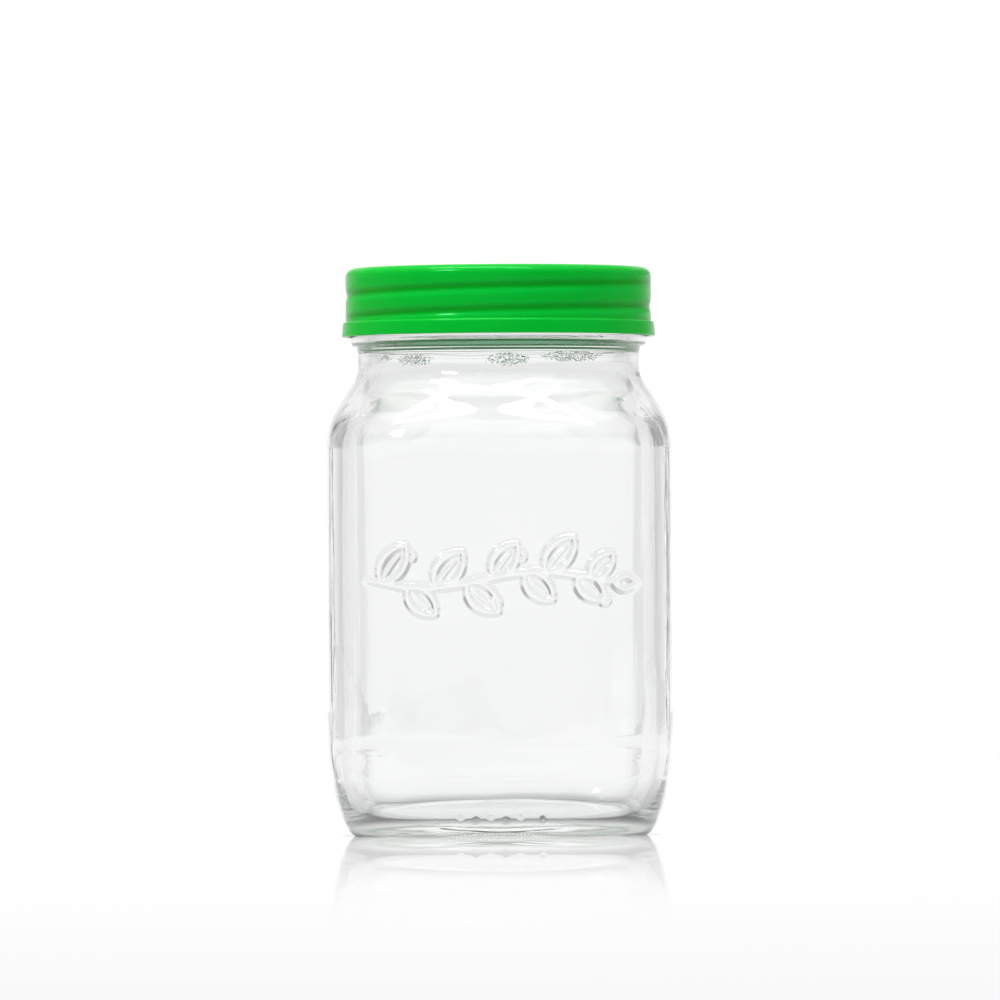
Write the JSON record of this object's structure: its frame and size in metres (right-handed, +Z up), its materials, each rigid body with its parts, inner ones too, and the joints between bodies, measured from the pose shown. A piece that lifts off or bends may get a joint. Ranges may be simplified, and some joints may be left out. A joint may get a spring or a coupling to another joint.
{
  "type": "glass jar with screw lid",
  "caption": "Clear glass wide-mouth jar with a soft square body, a round threaded neck, a screw lid and a sealing disc, for keeping small tools in disinfectant.",
  "frame": {"origin": "centre of the outline of the foot, in the plane that the jar stands on", "axes": "+Z up along the axis of the neck and lid, -Y towards the viewer, X and Y square to the four flat sides"},
  "size_m": [0.1, 0.1, 0.1639],
  "materials": {
    "glass_jar": "clear flint glass, fire polished",
    "screw_lid": "smooth gloss, bright green, slightly see-through",
    "lid_liner": "pale green foam sheet"
  },
  "bodies": {
    "jar": {"glass_jar": "glass_jar"},
    "liner": {"lid_liner": "lid_liner"},
    "lid": {"screw_lid": "screw_lid"}
  },
  "joints": [
    {"name": "lid_lift", "type": "slide", "parent": "jar", "child": "liner", "axis": [0, 0, 1], "range_m": [0, 0.0331]},
    {"name": "lid_turn", "type": "hinge", "parent": "liner", "child": "lid", "pos_m": [0, 0, 0.154], "axis": [0, 0, 1], "range_deg": [0, 1800]}
  ],
  "couplings": [
    {"joint": "lid_lift", "follows": "lid_turn", "m_per_rad": 0.0010504}
  ]
}
